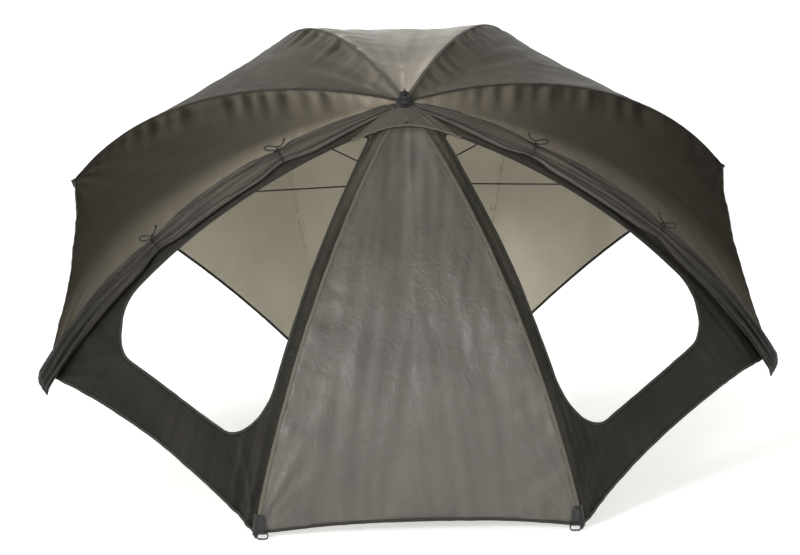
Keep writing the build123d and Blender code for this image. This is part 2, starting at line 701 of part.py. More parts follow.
for side_name, side in (("left", -1), ("right", 1)):
    pieces = peg_link(side * FRONT_LINK_X, front_link_y, TAB_FACE, TAB_HEAD)
    save(Compound(pieces), f"peg_link_front_{side_name}")
rear_pieces = []
for side in (-1, 1):
    rear_pieces += peg_link(side * (PEG_HALF_SPACING - REAR_LINK_IN), rear_link_y, -TAB_FACE, TAB_HEAD)
save(Compound(rear_pieces), "peg_links_rear")

# ---- rolled window covers and the cords that tie them ----
TIE_CORD = 2.0  # radius
TIE_GAP = 0.6
BOW_HALF_LENGTH = 17.0
BOW_HALF_HEIGHT = 8.0
BOW_SIDEWAYS = 22.0
BOW_RISE = 20.0
inner = TIE_GAP
outer = TIE_GAP + 2 * TIE_CORD
cover_arc = DOME + COVER_CENTRE
cover_start = degrees(asin(COVER_START / DOME))
cover_end = END_ANGLE + degrees(COVER_OVERHANG / DOME)
shift = COVER_HALF_WIDTH * TAN_HALF

for side_name, side in (("left", -1), ("right", 1)):
    azimuth = side * 3 * HALF_GORE
    sideways = -side * COVER_HALF_WIDTH
    path = arc_path(radial_plane(azimuth, sideways), cover_arc, cover_start, cover_end, shift)
    with BuildPart() as cover:
        with BuildSketch(arc_frame(azimuth, cover_start, cover_arc, sideways, shift)):
            Ellipse(COVER_HALF_WIDTH, COVER_HALF_THICKNESS)
        sweep(path=path)
    save(cover.part, f"window_cover_{side_name}")
    for tie_name, share in TIE_PLACES.items():
        angle = degrees(asin(share * RIM_RADIUS / DOME))
        frame = arc_frame(azimuth, angle, cover_arc, sideways, shift)
        with BuildPart() as tie:
            with BuildSketch(frame):
                Ellipse(COVER_HALF_WIDTH + outer, COVER_HALF_THICKNESS + outer)
                Ellipse(COVER_HALF_WIDTH + inner, COVER_HALF_THICKNESS + inner, mode=Mode.SUBTRACT)
            extrude(amount=TIE_CORD, both=True)
            with BuildSketch(frame):
                with Locations((side * BOW_SIDEWAYS, BOW_RISE)):
                    Ellipse(BOW_HALF_LENGTH, BOW_HALF_HEIGHT)
                Ellipse(COVER_HALF_WIDTH + inner, COVER_HALF_THICKNESS + inner, mode=Mode.SUBTRACT)
            extrude(amount=BOW_HALF_HEIGHT, both=True)
        save(tie.part, f"cover_tie_{side_name}_{tie_name}")
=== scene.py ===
import bpy
import math
import numpy as np
from mathutils import Matrix, Vector, noise
from mathutils.geometry import delaunay_2d_cdt


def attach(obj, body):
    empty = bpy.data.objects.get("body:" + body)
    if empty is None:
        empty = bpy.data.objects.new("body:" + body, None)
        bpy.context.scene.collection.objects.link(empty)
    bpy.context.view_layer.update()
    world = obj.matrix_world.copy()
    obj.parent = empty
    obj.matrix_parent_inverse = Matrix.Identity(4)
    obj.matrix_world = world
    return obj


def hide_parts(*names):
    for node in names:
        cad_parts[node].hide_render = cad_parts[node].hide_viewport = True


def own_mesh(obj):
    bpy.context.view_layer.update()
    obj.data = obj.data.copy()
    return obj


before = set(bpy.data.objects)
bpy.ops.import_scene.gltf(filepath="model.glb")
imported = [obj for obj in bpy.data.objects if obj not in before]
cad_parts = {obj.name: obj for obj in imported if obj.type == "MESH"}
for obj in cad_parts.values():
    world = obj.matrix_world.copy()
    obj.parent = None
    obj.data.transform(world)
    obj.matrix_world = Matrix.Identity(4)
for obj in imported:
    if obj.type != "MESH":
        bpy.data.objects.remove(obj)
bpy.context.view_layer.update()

# ---- the canopy's frame, as in the part: metres, +Z up, front towards -Y ----
RIM = 1.25  # out to the ribs' ends
RISE = 0.5538 * RIM  # the crown above the rim plane
CROWN = np.array([0.0, -0.3784, 1.21364])
LEAN = math.radians(33.38)  # how far the shaft leans back from upright
FORWARD = np.array([0.0, -math.cos(LEAN), -math.sin(LEAN)])
SIDE = np.array([1.0, 0.0, 0.0])
AXIS = np.array([0.0, -math.sin(LEAN), math.cos(LEAN)])
DOME = (RIM**2 + RISE**2) / (2 * RISE)  # radius of the ribs' curve
HALF = math.radians(22.5)  # half the angle between two ribs
COS_HALF = math.cos(HALF)
TAN_HALF = math.tan(HALF)
RIM_OUT = RIM * COS_HALF  # the rim at the middle of a panel
HEM_OUT = RIM_OUT - 0.008
INNER = 0.015  # where the panels begin beside the shaft
END_ANGLE = math.asin(RIM / DOME)
PEG_HALF = 0.25  # half the distance between the two rear pegs
HEM_FOOT = 0.003
REAR_CORNER = 112.5  # azimuth of the ribs that the corner cloths begin at
ROLLED_AT = 67.5  # azimuth of the ribs that carry the rolled covers

RIBS = {
    "front_left": -22.5, "front_right": 22.5, "mid_front_left": -67.5, "mid_front_right": 67.5,
    "mid_rear_left": -112.5, "mid_rear_right": 112.5, "rear_left": -157.5, "rear_right": 157.5,
}
# azimuth, how far the hem curves in, how slack the cloth is between its ribs, material
GORES = {
    "gore_front": (0, 0.015, 0.006, "front"),
    "gore_window_left": (-45, 0.025, 0.004, "strip"),
    "gore_window_right": (45, 0.025, 0.004, "strip"),
    "gore_side_left": (-90, 0.040, 0.014, "side"),
    "gore_side_right": (90, 0.040, 0.014, "side"),
    "gore_rear_left": (-135, 0.0, 0.016, "back"),
    "gore_rear_right": (135, 0.0, 0.016, "back"),
    "gore_rear": (180, 0.0, 0.012, "top"),
}


def around(azimuth):
    """Unit vector in the rim plane, from the front towards +X."""
    angle = math.radians(azimuth)
    return FORWARD * math.cos(angle) + SIDE * math.sin(angle)


def noisy(points, seed):
    """Smooth noise from -1 to 1 at each row of points."""
    offset = Vector((seed * 13.7, seed * 7.1, seed * 3.3))
    return np.array([noise.noise(Vector(p) + offset) for p in points])


def columns(*values):
    """Rows of three numbers for noisy(), padded with zeros."""
    values = list(values) + [np.zeros_like(values[0])] * (3 - len(values))
    return np.stack(values, axis=1)


def tube_faces(rings, count, closed=False):
    """Faces of a tube made of rings, with both ends capped unless it closes on itself."""
    faces = []
    for i in range(rings if closed else rings - 1):
        j = (i + 1) % rings
        for k in range(count):
            n = (k + 1) % count
            faces.append((i * count + k, i * count + n, j * count + n, j * count + k))
    if not closed:
        faces.append(tuple(range(count))[::-1])
        faces.append(tuple((rings - 1) * count + k for k in range(count)))
    return faces


def new_mesh(name, verts, faces, material=None, uv=None, painted_shading=None):
    """A mesh object. uv gives one (u, v) per vertex, and the last argument a factor of painted light and shade on
    the cloth's colour there.
    """
    mesh = bpy.data.meshes.new(name)
    mesh.from_pydata([tuple(map(float, v)) for v in verts], [], [list(map(int, f)) for f in faces])
    mesh.validate()
    if uv is not None:
        layer = mesh.uv_layers.new(name="cloth")
        index = np.zeros(len(mesh.loops), int)
        mesh.loops.foreach_get("vertex_index", index)
        layer.data.foreach_set("uv", np.asarray(uv, float)[index].ravel())
    painted_shades = mesh.attributes.new("painted_shading", "FLOAT", "POINT")
    painted_shades.data.foreach_set("value", np.ones(len(verts)) if painted_shading is None else np.asarray(painted_shading, float))
    mesh.polygons.foreach_set("use_smooth", [True] * len(mesh.polygons))
    mesh.update()
    thing = bpy.data.objects.new(name, mesh)
    bpy.context.scene.collection.objects.link(thing)
    if material is not None:
        mesh.materials.append(material)
    return thing


# ---- materials ----
def shader(name, color, rough, metallic=0.0):
    """A new node material, its tree, and its Principled shader."""
    material = bpy.data.materials.new(name)
    material.use_nodes = True
    tree = material.node_tree
    bsdf = tree.nodes["Principled BSDF"]
    bsdf.inputs["Base Color"].default_value = (*color, 1)
    bsdf.inputs["Roughness"].default_value = rough
    bsdf.inputs["Metallic"].default_value = metallic
    return material, tree, bsdf


def add(tree, kind, **values):
    """A node with its sockets or properties set by name."""
    node = tree.nodes.new(kind)
    for key, value in values.items():
        if key in node.inputs:
            node.inputs[key].default_value = value
        else:
            setattr(node, key, value)
    return node


def ramp(tree, source, low, high, at=(0.3, 0.7)):
    """A colour ramp between two colours or greys."""
    node = tree.nodes.new("ShaderNodeValToRGB")
    node.color_ramp.elements[0].position = at[0]
    node.color_ramp.elements[1].position = at[1]
    node.color_ramp.elements[0].color = (*low, 1) if hasattr(low, "__len__") else (low, low, low, 1)
    node.color_ramp.elements[1].color = (*high, 1) if hasattr(high, "__len__") else (high, high, high, 1)
    tree.links.new(source, node.inputs[0])
    return node


def cloth(name, color, rough=0.45, crinkle=0.35, spread=0.14, shine=0.2):
    """Fine woven polyester: threads, soft crinkles, faint patches of colour, and a satin shine."""
    material, tree, bsdf = shader(name, color, rough)
    link = tree.links.new
    where = add(tree, "ShaderNodeTexCoord").outputs["Object"]
    threads = add(tree, "ShaderNodeUVMap", uv_map="cloth").outputs[0]
    patches = add(tree, "ShaderNodeTexNoise", Scale=5.0, Detail=4.0, Roughness=0.6)
    link(where, patches.inputs["Vector"])
    dark = [c * (1 - spread) for c in color]
    light = [min(1, c * (1 + spread)) for c in color]
    tone = ramp(tree, patches.outputs[0], dark, light)
    warp = add(tree, "ShaderNodeTexWave", wave_type="BANDS", bands_direction="X", Scale=300.0, Distortion=0.6)
    weft = add(tree, "ShaderNodeTexWave", wave_type="BANDS", bands_direction="Y", Scale=300.0, Distortion=0.6)
    link(threads, warp.inputs["Vector"])
    link(threads, weft.inputs["Vector"])
    mesh = add(tree, "ShaderNodeMath", operation="MULTIPLY")
    link(warp.outputs[1], mesh.inputs[0])
    link(weft.outputs[1], mesh.inputs[1])
    mix = add(tree, "ShaderNodeMixRGB", blend_type="MULTIPLY", Fac=0.18)
    link(tone.outputs[0], mix.inputs[1])
    link(mesh.outputs[0], mix.inputs[2])
    # the colour times the per-point factor of painted light and shade
    shaded = add(tree, "ShaderNodeMixRGB", blend_type="MULTIPLY", Fac=1.0)
    link(mix.outputs[0], shaded.inputs[1])
    link(add(tree, "ShaderNodeAttribute", attribute_name="painted_shading").outputs["Fac"], shaded.inputs[2])
    link(shaded.outputs[0], bsdf.inputs["Base Color"])
    streaks = add(tree, "ShaderNodeTexNoise", Scale=14.0, Detail=5.0, Roughness=0.65, Distortion=0.8)
    link(where, streaks.inputs["Vector"])
    gloss = ramp(tree, streaks.outputs[0], rough - 0.07, rough + 0.1)
    link(gloss.outputs[0], bsdf.inputs["Roughness"])
    creases = add(tree, "ShaderNodeTexNoise", Scale=26.0, Detail=6.0, Roughness=0.55, Distortion=1.4)
    link(where, creases.inputs["Vector"])
    first = add(tree, "ShaderNodeBump", Strength=crinkle, Distance=0.006)
    link(creases.outputs[0], first.inputs["Height"])
    second = add(tree, "ShaderNodeBump", Strength=0.25, Distance=0.0004)
    link(mesh.outputs[0], second.inputs["Height"])
    link(first.outputs[0], second.inputs["Normal"])
    link(second.outputs[0], bsdf.inputs["Normal"])
    bsdf.inputs["Specular IOR Level"].default_value = shine
    return material


def tape(name, color, thread, rows=(0.2, 0.8), rough=0.62):
    """Woven binding tape with rows of stitches; u runs across it from 0 to 1, v along it in metres."""
    material, tree, bsdf = shader(name, color, rough)
    link = tree.links.new
    split = add(tree, "ShaderNodeSeparateXYZ")
    link(add(tree, "ShaderNodeUVMap", uv_map="cloth").outputs[0], split.inputs[0])

    def near(value, centre, width):
        node = add(tree, "ShaderNodeMath", operation="COMPARE")
        link(value, node.inputs[0])
        node.inputs[1].default_value = centre
        node.inputs[2].default_value = width
        return node.outputs[0]

    pitch = 0.004
    cycle = add(tree, "ShaderNodeMath", operation="WRAP")
    link(split.outputs[1], cycle.inputs[0])
    cycle.inputs[1].default_value = pitch
    cycle.inputs[2].default_value = 0.0
    dash = near(cycle.outputs[0], pitch / 2, 0.0013)
    both = add(tree, "ShaderNodeMath", operation="MAXIMUM")
    link(near(split.outputs[0], rows[0], 0.035), both.inputs[0])
    link(near(split.outputs[0], rows[1], 0.035), both.inputs[1])
    stitch = add(tree, "ShaderNodeMath", operation="MULTIPLY")
    link(dash, stitch.inputs[0])
    link(both.outputs[0], stitch.inputs[1])
    grain = add(tree, "ShaderNodeTexNoise", Scale=420.0, Detail=3.0)
    link(add(tree, "ShaderNodeTexCoord").outputs["Object"], grain.inputs["Vector"])
    tone = ramp(tree, grain.outputs[0], [c * 0.75 for c in color], [c * 1.3 for c in color])
    mix = add(tree, "ShaderNodeMixRGB")
    link(stitch.outputs[0], mix.inputs[0])
    link(tone.outputs[0], mix.inputs[1])
    mix.inputs[2].default_value = (*thread, 1)
    link(mix.outputs[0], bsdf.inputs["Base Color"])
    bump = add(tree, "ShaderNodeBump", Strength=0.5, Distance=0.0006)
    total = add(tree, "ShaderNodeMath", operation="ADD")
    link(stitch.outputs[0], total.inputs[0])
    link(grain.outputs[0], total.inputs[1])
    link(total.outputs[0], bump.inputs["Height"])
    link(bump.outputs[0], bsdf.inputs["Normal"])
    bsdf.inputs["Specular IOR Level"].default_value = 0.2
    return material


def hard(name, color, rough, metallic=0.0, grain=180.0, strength=0.15, streak=None):
    """Moulded or drawn material: fine grain, varied gloss, and paler worn patches."""
    material, tree, bsdf = shader(name, color, rough, metallic)
    link = tree.links.new
    where = add(tree, "ShaderNodeTexCoord").outputs["Object"]
    if streak:
        stretch = add(tree, "ShaderNodeMapping")
        stretch.inputs["Scale"].default_value = streak
        link(where, stretch.inputs[0])
        where = stretch.outputs[0]
    fine = add(tree, "ShaderNodeTexNoise", Scale=grain, Detail=5.0)
    link(where, fine.inputs["Vector"])
    wear = add(tree, "ShaderNodeTexNoise", Scale=grain * 0.09, Detail=6.0, Roughness=0.7)
    link(where, wear.inputs["Vector"])
    pale = [c + 0.0875 * (0.35 - c) if c < 0.35 else c for c in color]
    tone = ramp(tree, wear.outputs[0], color, pale, at=(0.45, 0.75))
    link(tone.outputs[0], bsdf.inputs["Base Color"])
    gloss = ramp(tree, fine.outputs[0], max(0.05, rough - 0.1), min(1, rough + 0.14))
    link(gloss.outputs[0], bsdf.inputs["Roughness"])
    bump = add(tree, "ShaderNodeBump", Strength=strength, Distance=0.0005)
    link(fine.outputs[0], bump.inputs["Height"])
    link(bump.outputs[0], bsdf.inputs["Normal"])
    bsdf.inputs["Specular IOR Level"].default_value = 0.3
    return material


# One olive fabric in lit and shaded copies: each panel's colour is painted light and shade, darker on the side
# panels and window strips, and paler on the top rear panel where light shines through it.
LIT_CLOTH_COPIES = {
    "front": cloth("front_cloth", (0.118, 0.106, 0.090), rough=0.40, crinkle=0.5, shine=0.45),
    "strip": cloth("strip_cloth", (0.046, 0.042, 0.033), rough=0.42, crinkle=0.55, shine=0.08),
    "side": cloth("side_cloth", (0.058, 0.051, 0.040), rough=0.5, crinkle=0.4, spread=0.08, shine=0.0),
    "back": cloth("back_cloth", (0.115, 0.103, 0.085), rough=0.5, crinkle=0.4, shine=0.02),
    "top": cloth("top_cloth", (0.30, 0.272, 0.228), rough=0.46, crinkle=0.4, shine=0.2),
}
# The inner faces of the same thin cloth: their colours are painted light, paler on the side and rear panels where
# light shines through the cloth.
INSIDE_LIT_COPIES = {
    "front": cloth("front_lining", (0.13, 0.115, 0.085), rough=0.6),
    "strip": cloth("strip_lining", (0.13, 0.115, 0.085), rough=0.6),
    "side": cloth("side_inside_lit", (0.30, 0.265, 0.19), rough=0.6),
    "back": cloth("back_lining", (0.56, 0.51, 0.39), rough=0.6, crinkle=0.15),
    "top": cloth("top_lining", (0.60, 0.54, 0.42), rough=0.6, crinkle=0.15),
}
# The walls' pale colour is partly their own and partly painted light: the light that shines through the thin
# cloth from behind.
WALL = cloth("wall_cloth", (0.53, 0.49, 0.40), rough=0.6, crinkle=0.15, spread=0.08)
COVER = cloth("cover_cloth", (0.098, 0.089, 0.075), rough=0.42, crinkle=0.5, shine=0.08)
BINDING = tape("binding_tape", (0.022, 0.021, 0.018), (0.07, 0.066, 0.055))
WELT = tape("seam_welt", (0.030, 0.027, 0.021), (0.07, 0.063, 0.05))
WELT_PALE = tape("seam_welt_pale", (0.085, 0.077, 0.062), (0.15, 0.135, 0.11))
WEB = tape("web_tape", (0.018, 0.018, 0.017), (0.12, 0.12, 0.11), rows=(0.12, 0.88))
CORD = hard("tie_cord", (0.010, 0.009, 0.008), 0.75, grain=700.0, strength=0.6)
PLASTIC = hard("black_plastic", (0.016, 0.016, 0.017), 0.42, grain=320.0, strength=0.2)
LINK = hard("link_plastic", (0.02, 0.02, 0.02), 0.38, grain=260.0, strength=0.25)
RUBBER = hard("tip_rubber", (0.02, 0.02, 0.02), 0.6, grain=240.0, strength=0.3)
ROD = hard("fibreglass_rod", (0.026, 0.026, 0.027), 0.34, grain=300.0, strength=0.2, streak=(1, 1, 0.15))
TUBE = hard("anodised_tube", (0.045, 0.045, 0.047), 0.32, 0.85, grain=260.0, streak=(1, 0.2, 0.12))
STEEL = hard("zinc_steel", (0.42, 0.42, 0.41), 0.34, 1.0, grain=300.0)
NODE_MATERIALS = {
    "upper_pole": TUBE, "lower_pole": TUBE, "crown_notch": PLASTIC, "crown_wire": STEEL,
    "crown_washer": PLASTIC, "crown_cap": PLASTIC, "crown_stud": PLASTIC, "clamp_collar": PLASTIC,
    "clamp_knob": PLASTIC, "pole_tongue": PLASTIC, "spike_fork": PLASTIC, "ground_spike": STEEL,
    "tilt_knob": PLASTIC, "runner": PLASTIC, "runner_button": STEEL,
}
for name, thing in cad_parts.items():
    material = NODE_MATERIALS.get(name)
    if name.startswith("rib_fittings"):
        material = RUBBER
    elif name.startswith("rib_"):
        material = ROD
    elif name.startswith("stretcher_"):
        material = TUBE
    elif name.startswith("peg_link"):
        material = LINK
    if material is not None:
        for material_slot in thing.material_slots:
            material_slot.material = material


# ---- canopy cloth ----
def canopy_point(azimuth, out, sideways, lift=0.0):
    """Points on a panel's face, from distance out along its middle and sideways, with its normals."""
    out = np.asarray(out, float)
    sideways = np.asarray(sideways, float)
    rise = np.sqrt(DOME**2 - (out / COS_HALF) ** 2)
    points = (CROWN + np.outer(out, around(azimuth)) + np.outer(sideways, around(azimuth + 90))
              + np.outer(rise - DOME, AXIS))
    normal = np.outer(out / (COS_HALF**2 * rise), around(azimuth)) + AXIS
    normal /= np.linalg.norm(normal, axis=1)[:, None]
    return points + normal * np.reshape(lift, (-1, 1)), normal


def fillet_loop(corners, radii, step):
    """A closed outline with rounded corners, sampled about every step."""
    count = len(corners)
    outline = []
    for i in range(count):
        here, before, after = (np.array(corners[j % count], float) for j in (i, i - 1, i + 1))
        a = (before - here) / np.linalg.norm(before - here)
        b = (after - here) / np.linalg.norm(after - here)
        half = math.acos(float(a @ b)) / 2
        centre = here + (a + b) / np.linalg.norm(a + b) * radii[i] / math.sin(half)
        start = here + a * radii[i] / math.tan(half) - centre
        end = here + b * radii[i] / math.tan(half) - centre
        turn = math.atan2(start[0] * end[1] - start[1] * end[0], start @ end)
        steps = max(3, int(abs(turn) * radii[i] / step))
        first = math.atan2(start[1], start[0])
        for k in range(steps + 1):
            angle = first + turn * k / steps
            outline.append(centre + radii[i] * np.array([math.cos(angle), math.sin(angle)]))
    return resampled(np.array(outline), step, closed=True)


def resampled(line, step, closed=False):
    """The same line with evenly spaced points."""
    line = np.asarray(line, float)
    if closed:
        line = np.vstack([line, line[:1]])
    length = np.concatenate([[0], np.cumsum(np.linalg.norm(np.diff(line, axis=0), axis=1))])
    count = max(4, int(round(length[-1] / step)))
    at = np.linspace(0, length[-1], count + 1)
    if closed:
        at = at[:-1]
    return np.stack([np.interp(at, length, line[:, k]) for k in range(line.shape[1])], axis=1)


def window_loop(mirrored, step, grow=0.0):
    """The window's outline in a panel's own (out, sideways) metres."""
    side = -1 if mirrored else 1
    front, rear, foot = 0.044 - grow, 0.075 - grow, 0.826 * RIM + grow
    top = (front + rear) / (2 * math.sin(HALF))
    top_side = (rear - front) / (2 * COS_HALF)
    near = foot * TAN_HALF - front / COS_HALF
    far = rear / COS_HALF - foot * TAN_HALF
    corners = [(top, side * top_side), (foot, side * near), (foot, side * far)]
    return fillet_loop(corners, [0.02 + grow, 0.1 + grow, 0.105 + grow], step)


def inside(points, loop):
    """Which points lie inside a closed loop."""
    x, y = points[:, 0][:, None], points[:, 1][:, None]
    x1, y1 = loop[:, 0][None], loop[:, 1][None]
    x2, y2 = np.roll(loop[:, 0], -1)[None], np.roll(loop[:, 1], -1)[None]
    crosses = (y1 > y) != (y2 > y)
    at = x1 + (y - y1) / np.where(y2 == y1, 1e-12, y2 - y1) * (x2 - x1)
    return (crosses & (x < at)).sum(1) % 2 == 1


def filled(outline, hole, step):
    """Triangles that fill an outline around an optional hole, with evenly spread points inside."""
    low, high = outline.min(0), outline.max(0)
    rows = int((high[0] - low[0]) / (step * 0.87)) + 1
    cols = int((high[1] - low[1]) / step) + 2
    grid = np.array([(low[0] + r * step * 0.87, low[1] + (c + 0.5 * (r % 2)) * step)
                     for r in range(rows) for c in range(cols)])
    loops = [outline] + ([hole] if hole is not None else [])
    for loop in loops:
        gap = np.array([np.min(np.hypot(*(loop - p).T)) for p in grid])
        grid = grid[(gap > 0.62 * step)]
    keep = inside(grid, outline)
    if hole is not None:
        keep &= ~inside(grid, hole)
    points = np.vstack(loops + [grid[keep]])
    edges, start = [], 0
    for loop in loops:
        count = len(loop)
        edges += [(start + i, start + (i + 1) % count) for i in range(count)]
        start += count
    verts, _, faces, *_ = delaunay_2d_cdt([Vector(p) for p in points], edges, [], 0, 1e-7)
    verts = np.array([tuple(v) for v in verts])
    faces = np.array([f for f in faces if len(f) == 3])
    middle = verts[faces].mean(1)
    wanted = inside(middle, outline)
    if hole is not None:
        wanted &= ~inside(middle, hole)
    return verts, faces[wanted]


def creased(points, seed, corner, reach, height, spokes=9.0):
    """Folds that fan out from a corner and fade away from it."""
    away = points - np.asarray(corner)
    distance = np.hypot(*away.T)
    angle = np.arctan2(away[:, 1], away[:, 0])
    wave = noisy(columns(angle * spokes, distance * 1.5), seed)
    return height * wave * np.exp(-distance / reach) * np.clip(distance / 0.05, 0, 1)


def folds(name, out, sideways):
    """How far the cloth stands off its panel's even surface, outward."""
    azimuth, _, slack, _ = GORES[name]
    seed = list(GORES).index(name) * 5 + 3
    half_width = np.maximum(out * TAN_HALF, 1e-4)
    across = sideways / half_width
    share = out / HEM_OUT
    to_seam = (half_width - np.abs(sideways)) * COS_HALF
    points = np.stack([out, sideways], axis=1)
    side = np.sign(sideways)
    inner = np.clip(to_seam / 0.03, 0, 1)
    lift = -slack * (1 - across**2) * np.sin(np.pi * np.clip(share, 0, 1) ** 0.8) ** 0.7
    # puckers square to the seams, and finer ones right beside the stitches
    pucker = noisy(columns(out * 34, side * 3, to_seam * 5), seed)
    fine = noisy(columns(out * 95, side * 5, to_seam * 9), seed + 1)
    lift += 0.0030 * pucker * np.exp(-to_seam / 0.05) * np.clip(to_seam / 0.012, 0, 1)
    lift += 0.0011 * (fine + 0.4) * np.exp(-to_seam / 0.02)
    # broad, soft billows and long diagonal pulls
    lift += 0.0035 * noisy(columns(out * 3.2, sideways * 6.5), seed + 2) * inner
    pull = noisy(columns(out * 2.2 + sideways * 5.0 * side, (sideways - 0.25 * out * side) * 26), seed + 3)
    lift += 0.0022 * pull * inner * np.clip(share * 1.5, 0, 1)
    # the hem and the crown gather the cloth
    hem_ripple = noisy(columns(sideways * 55, out * 5), seed + 4)
    lift += 0.0016 * hem_ripple * np.exp(-(HEM_OUT - out) / 0.05) * inner
    lift += 0.0020 * noisy(columns(sideways / (out + 0.05) * 9, out * 2), seed + 1) * np.exp(-out / 0.22)
    for end in (-1, 1):
        corner = (HEM_OUT, end * HEM_OUT * TAN_HALF)
        lift += creased(points, seed + end + 2, corner, 0.20, 0.0075, 7.0) * inner
        lift += creased(points, seed + end + 6, corner, 0.10, 0.0050, 14.0) * inner
    if name == "gore_front":
        # soft upright folds below the crown, a pole line, and pulls beside the lower seams
        upright = np.clip(1.05 - 1.15 * share, 0, 1) * inner
        lift += 0.0110 * noisy(columns(sideways * 13 + 1.2 * out, out * 2.3), 71) * upright
        lift += 0.0042 * noisy(columns(sideways * 34 + out * 5, out * 5.0), 74) * upright
        lift += 0.0022 * np.exp(-((sideways - 0.008) / 0.006) ** 2) * np.clip(1.3 - 1.9 * share, 0, 1)
        low = np.clip((share - 0.5) / 0.2, 0, 1)
        pulls = noisy(columns(out * 30 + np.abs(sideways) * 9, sideways * 5), 72)
        lift += 0.0080 * pulls * low * np.exp(-to_seam / 0.09) * inner
        lift += 0.0070 * noisy(columns(out * 8, sideways * 5.5), 73) * low * inner
    if "window" in name:
        # lengthwise folds in the narrow strips beside the ribs
        ends = np.exp(-to_seam / 0.10)
        lift += 0.0120 * noisy(columns(to_seam * 55, out * 2.2, side * 4), seed + 21) * ends * inner
        foot = np.clip((share - 0.86) / 0.06, 0, 1)
        lift += 0.0060 * noisy(columns(out * 16, sideways * 3.2), seed + 22) * foot * inner
    if "side" in name or "rear" in name:
        drape = noisy(columns(across * 3.4, out * 1.2), seed + 23)
        lift += 0.0060 * drape * (1 - across**2) * share
        # folds square to the seam over the upper rib, deepest half way down it
        upper = np.clip(1 - (1 - np.abs(across)) * half_width / 0.17, 0, 1) * (side == np.sign(azimuth or 1))
        ridge = noisy(columns(out * 24 + to_seam * 3, side * 9), seed + 24)
        middle = np.sin(np.pi * np.clip(share, 0, 1))
        lift += 0.0170 * ridge * upper**1.5 * np.clip(to_seam / 0.02, 0, 1) * middle
    return lift


# painted light and shade: the cloth is painted paler where its folds rise towards here, so on their upper sides
# and the object's left, and darker on their other sides
AWAY_FROM_PAINTED_LIGHT = np.array([0.86, 0.25, -0.45])


def painted_light_and_shade(name, out, sideways):
    """Painted light and shade on the satin cloth, as a factor on its colour: paler towards the crown and front
    ribs, and on one side of each fold.
    """
    azimuth, _, _, kind = GORES[name]
    share = np.clip(out / HEM_OUT, 0, 1)
    across = sideways / np.maximum(out * TAN_HALF, 1e-4)
    step = 0.004
    along_out = (folds(name, out + step, sideways) - folds(name, out - step, sideways)) / (2 * step)
    along_side = (folds(name, out, sideways + step) - folds(name, out, sideways - step)) / (2 * step)
    slope = along_out * (around(azimuth) @ AWAY_FROM_PAINTED_LIGHT) + along_side * (around(azimuth + 90) @ AWAY_FROM_PAINTED_LIGHT)
    # painted light on the folds: paler where a fold faces the light, darker where it faces away
    fold = np.clip(1 + (0.8 if kind == "front" else 1.7) * slope, 0.6, 1.5)
    # painted light by panel: highlights towards the crown and, on the side panels, towards the front rib; painted
    # shade towards the hem on the side, window and rear panels
    if kind == "side":
        front = np.clip((-across * np.sign(azimuth) - 0.2) / 0.65, 0, 1)
        painted_highlight = 2.8 * front**2 * (3 - 2 * front) * np.clip(1.2 - share, 0, 1)
        return fold * (1.35 - 0.85 * share + painted_highlight + 4.2 * np.exp(-share / 0.13))
    if kind == "strip":
        return fold * (0.66 - 0.30 * share + 1.6 * np.exp(-share / 0.2))
    if kind == "back":
        return fold * (1.08 - 0.50 * share)
    if kind == "front":
        return fold * (0.68 + 0.42 * np.exp(-share / 0.15) + 0.06 * share)
    return fold


def strip(name, points, normals, width, thickness, material, closed=False, bulge=0.0, lift=0.0):
    """A flat tape with rounded edges that runs along points and lies square to normals."""
    points, normals = np.asarray(points, float), np.asarray(normals, float)
    count = len(points)
    if closed:
        along = np.roll(points, -1, 0) - np.roll(points, 1, 0)
    else:
        along = np.gradient(points, axis=0)
    along /= np.linalg.norm(along, axis=1)[:, None]
    across = np.cross(along, normals)
    across /= np.linalg.norm(across, axis=1)[:, None]
    up = np.cross(across, along)
    width = np.broadcast_to(width, (count,))
    profile = [(-1, 0.0), (-0.94, 0.75), (-0.6, 1.0), (0.0, 1.0 + bulge), (0.6, 1.0), (0.94, 0.75), (1, 0.0),
               (0.9, -0.8), (0.0, -1.0), (-0.9, -0.8)]
    travel = np.concatenate([[0], np.cumsum(np.linalg.norm(np.diff(points, axis=0), axis=1))])
    verts, uv = [], []
    for i in range(count):
        for x, y in profile:
            verts.append(points[i] + across[i] * x * width[i] / 2 + up[i] * (y * thickness / 2 + lift))
            uv.append(((x + 1) / 2, travel[i]))
    return new_mesh(name, verts, tube_faces(count, len(profile), closed), material, uv)


def joined(name, parts):
    """Joins pieces into one object."""
    for thing in bpy.context.selected_objects:
        thing.select_set(False)
    for thing in parts:
        thing.select_set(True)
    bpy.context.view_layer.objects.active = parts[0]
    bpy.ops.object.join()
    parts[0].name = name
    return parts[0]


def thicken(thing, thickness, lining=None):
    """Gives a one-sided cloth mesh its thickness on the inside; an optional second material, whose colour is
    painted light, goes on the inner faces.
    """
    if lining is not None:
        thing.data.materials.append(lining)
    solid = thing.modifiers.new("thickness", "SOLIDIFY")
    solid.thickness = thickness
    solid.offset = -1.0
    solid.material_offset = 1 if lining is not None else 0
    bpy.context.view_layer.objects.active = thing
    for other in bpy.context.selected_objects:
        other.select_set(False)
    thing.select_set(True)
    bpy.ops.object.modifier_apply(modifier=solid.name)


STEP = 0.009  # distance between a panel's points
WALL_STEP = 0.012
CLOTH = 0.0009  # cloth thickness
EDGE_GAP = 0.0003
# width and thickness of the tapes
HEM_TAPE = (0.010, 0.0030)
WINDOW_TAPE = (0.008, 0.0030)
ROLL_TAPE = (0.006, 0.0022)
WALL_SEAM = (0.014, 0.0044)
WALL_TOP_SEAM = (0.034, 0.0044)
PIPING = (0.008, 0.0045)


def gather(piece, body):
    """Rides a piece on its body and gives it its own copy of its mesh."""
    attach(piece, body)
    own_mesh(piece)


def under_tape(name, line):
    """Points and normals in the middle of a panel's cloth, along a line on the panel."""
    lift = folds(name, line[:, 0], line[:, 1]) - CLOTH / 2
    return canopy_point(GORES[name][0], line[:, 0], line[:, 1], lift)


